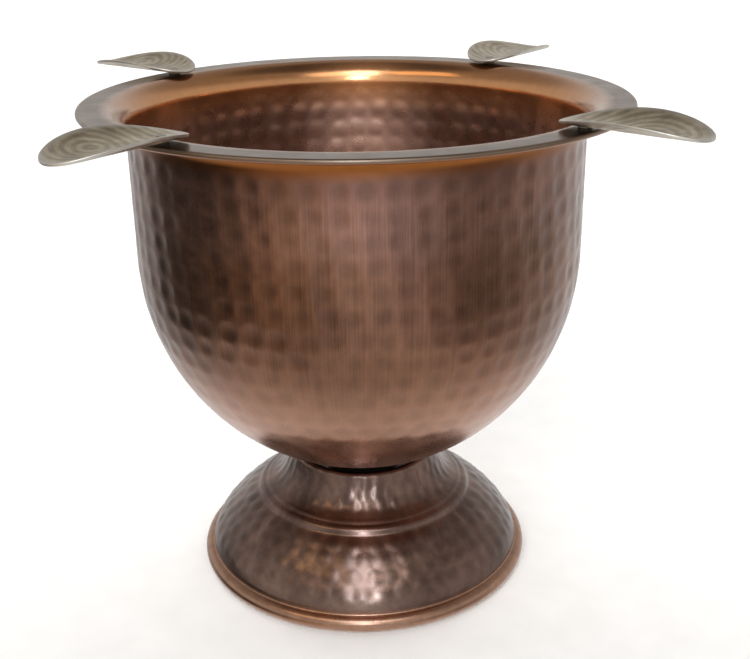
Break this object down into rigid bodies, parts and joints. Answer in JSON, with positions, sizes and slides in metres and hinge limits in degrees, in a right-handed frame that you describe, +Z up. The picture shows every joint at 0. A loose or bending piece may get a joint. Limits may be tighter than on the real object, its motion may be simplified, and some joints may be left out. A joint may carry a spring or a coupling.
{
  "type": "pedestal cigar ashtray",
  "caption": "Hammered copper pedestal bowl ashtray with a flat rim, a flared foot and trough-shaped metal cigar rests riveted around the rim.",
  "frame": {"origin": "on the floor, on the common axis of the bowl and the foot", "axes": "+Z up along the axis; the rests stand within a few degrees of the diagonals between X and Y; +X right and -Y towards the front"},
  "size_m": [0.2009, 0.2049, 0.193],
  "materials": {
    "copper_bowl": "antique copper, hammered, dark brown patina under clear lacquer",
    "copper_foot": "antique copper, hammered, darker patina, glossy",
    "antique_steel": "antiqued grey steel, satin, brighter on the edges",
    "zinc_steel": "zinc plated",
    "black_rubber": "matt"
  },
  "bodies": {
    "root": {"bowl": "copper_bowl", "foot": "copper_foot", "joint_gasket": "black_rubber", "centre_bolt": "zinc_steel", "seal_washer": "black_rubber", "clamp_washer": "zinc_steel", "clamp_nut": "zinc_steel", "rest_back_right": "antique_steel", "rest_back_left": "antique_steel", "rest_front_left": "antique_steel", "rest_front_right": "antique_steel", "post_back_right": "antique_steel", "post_back_left": "antique_steel", "post_front_left": "antique_steel", "post_front_right": "antique_steel", "rest_rivets": "antique_steel", "rivet_washers": "copper_foot"}
  },
  "joints": []
}
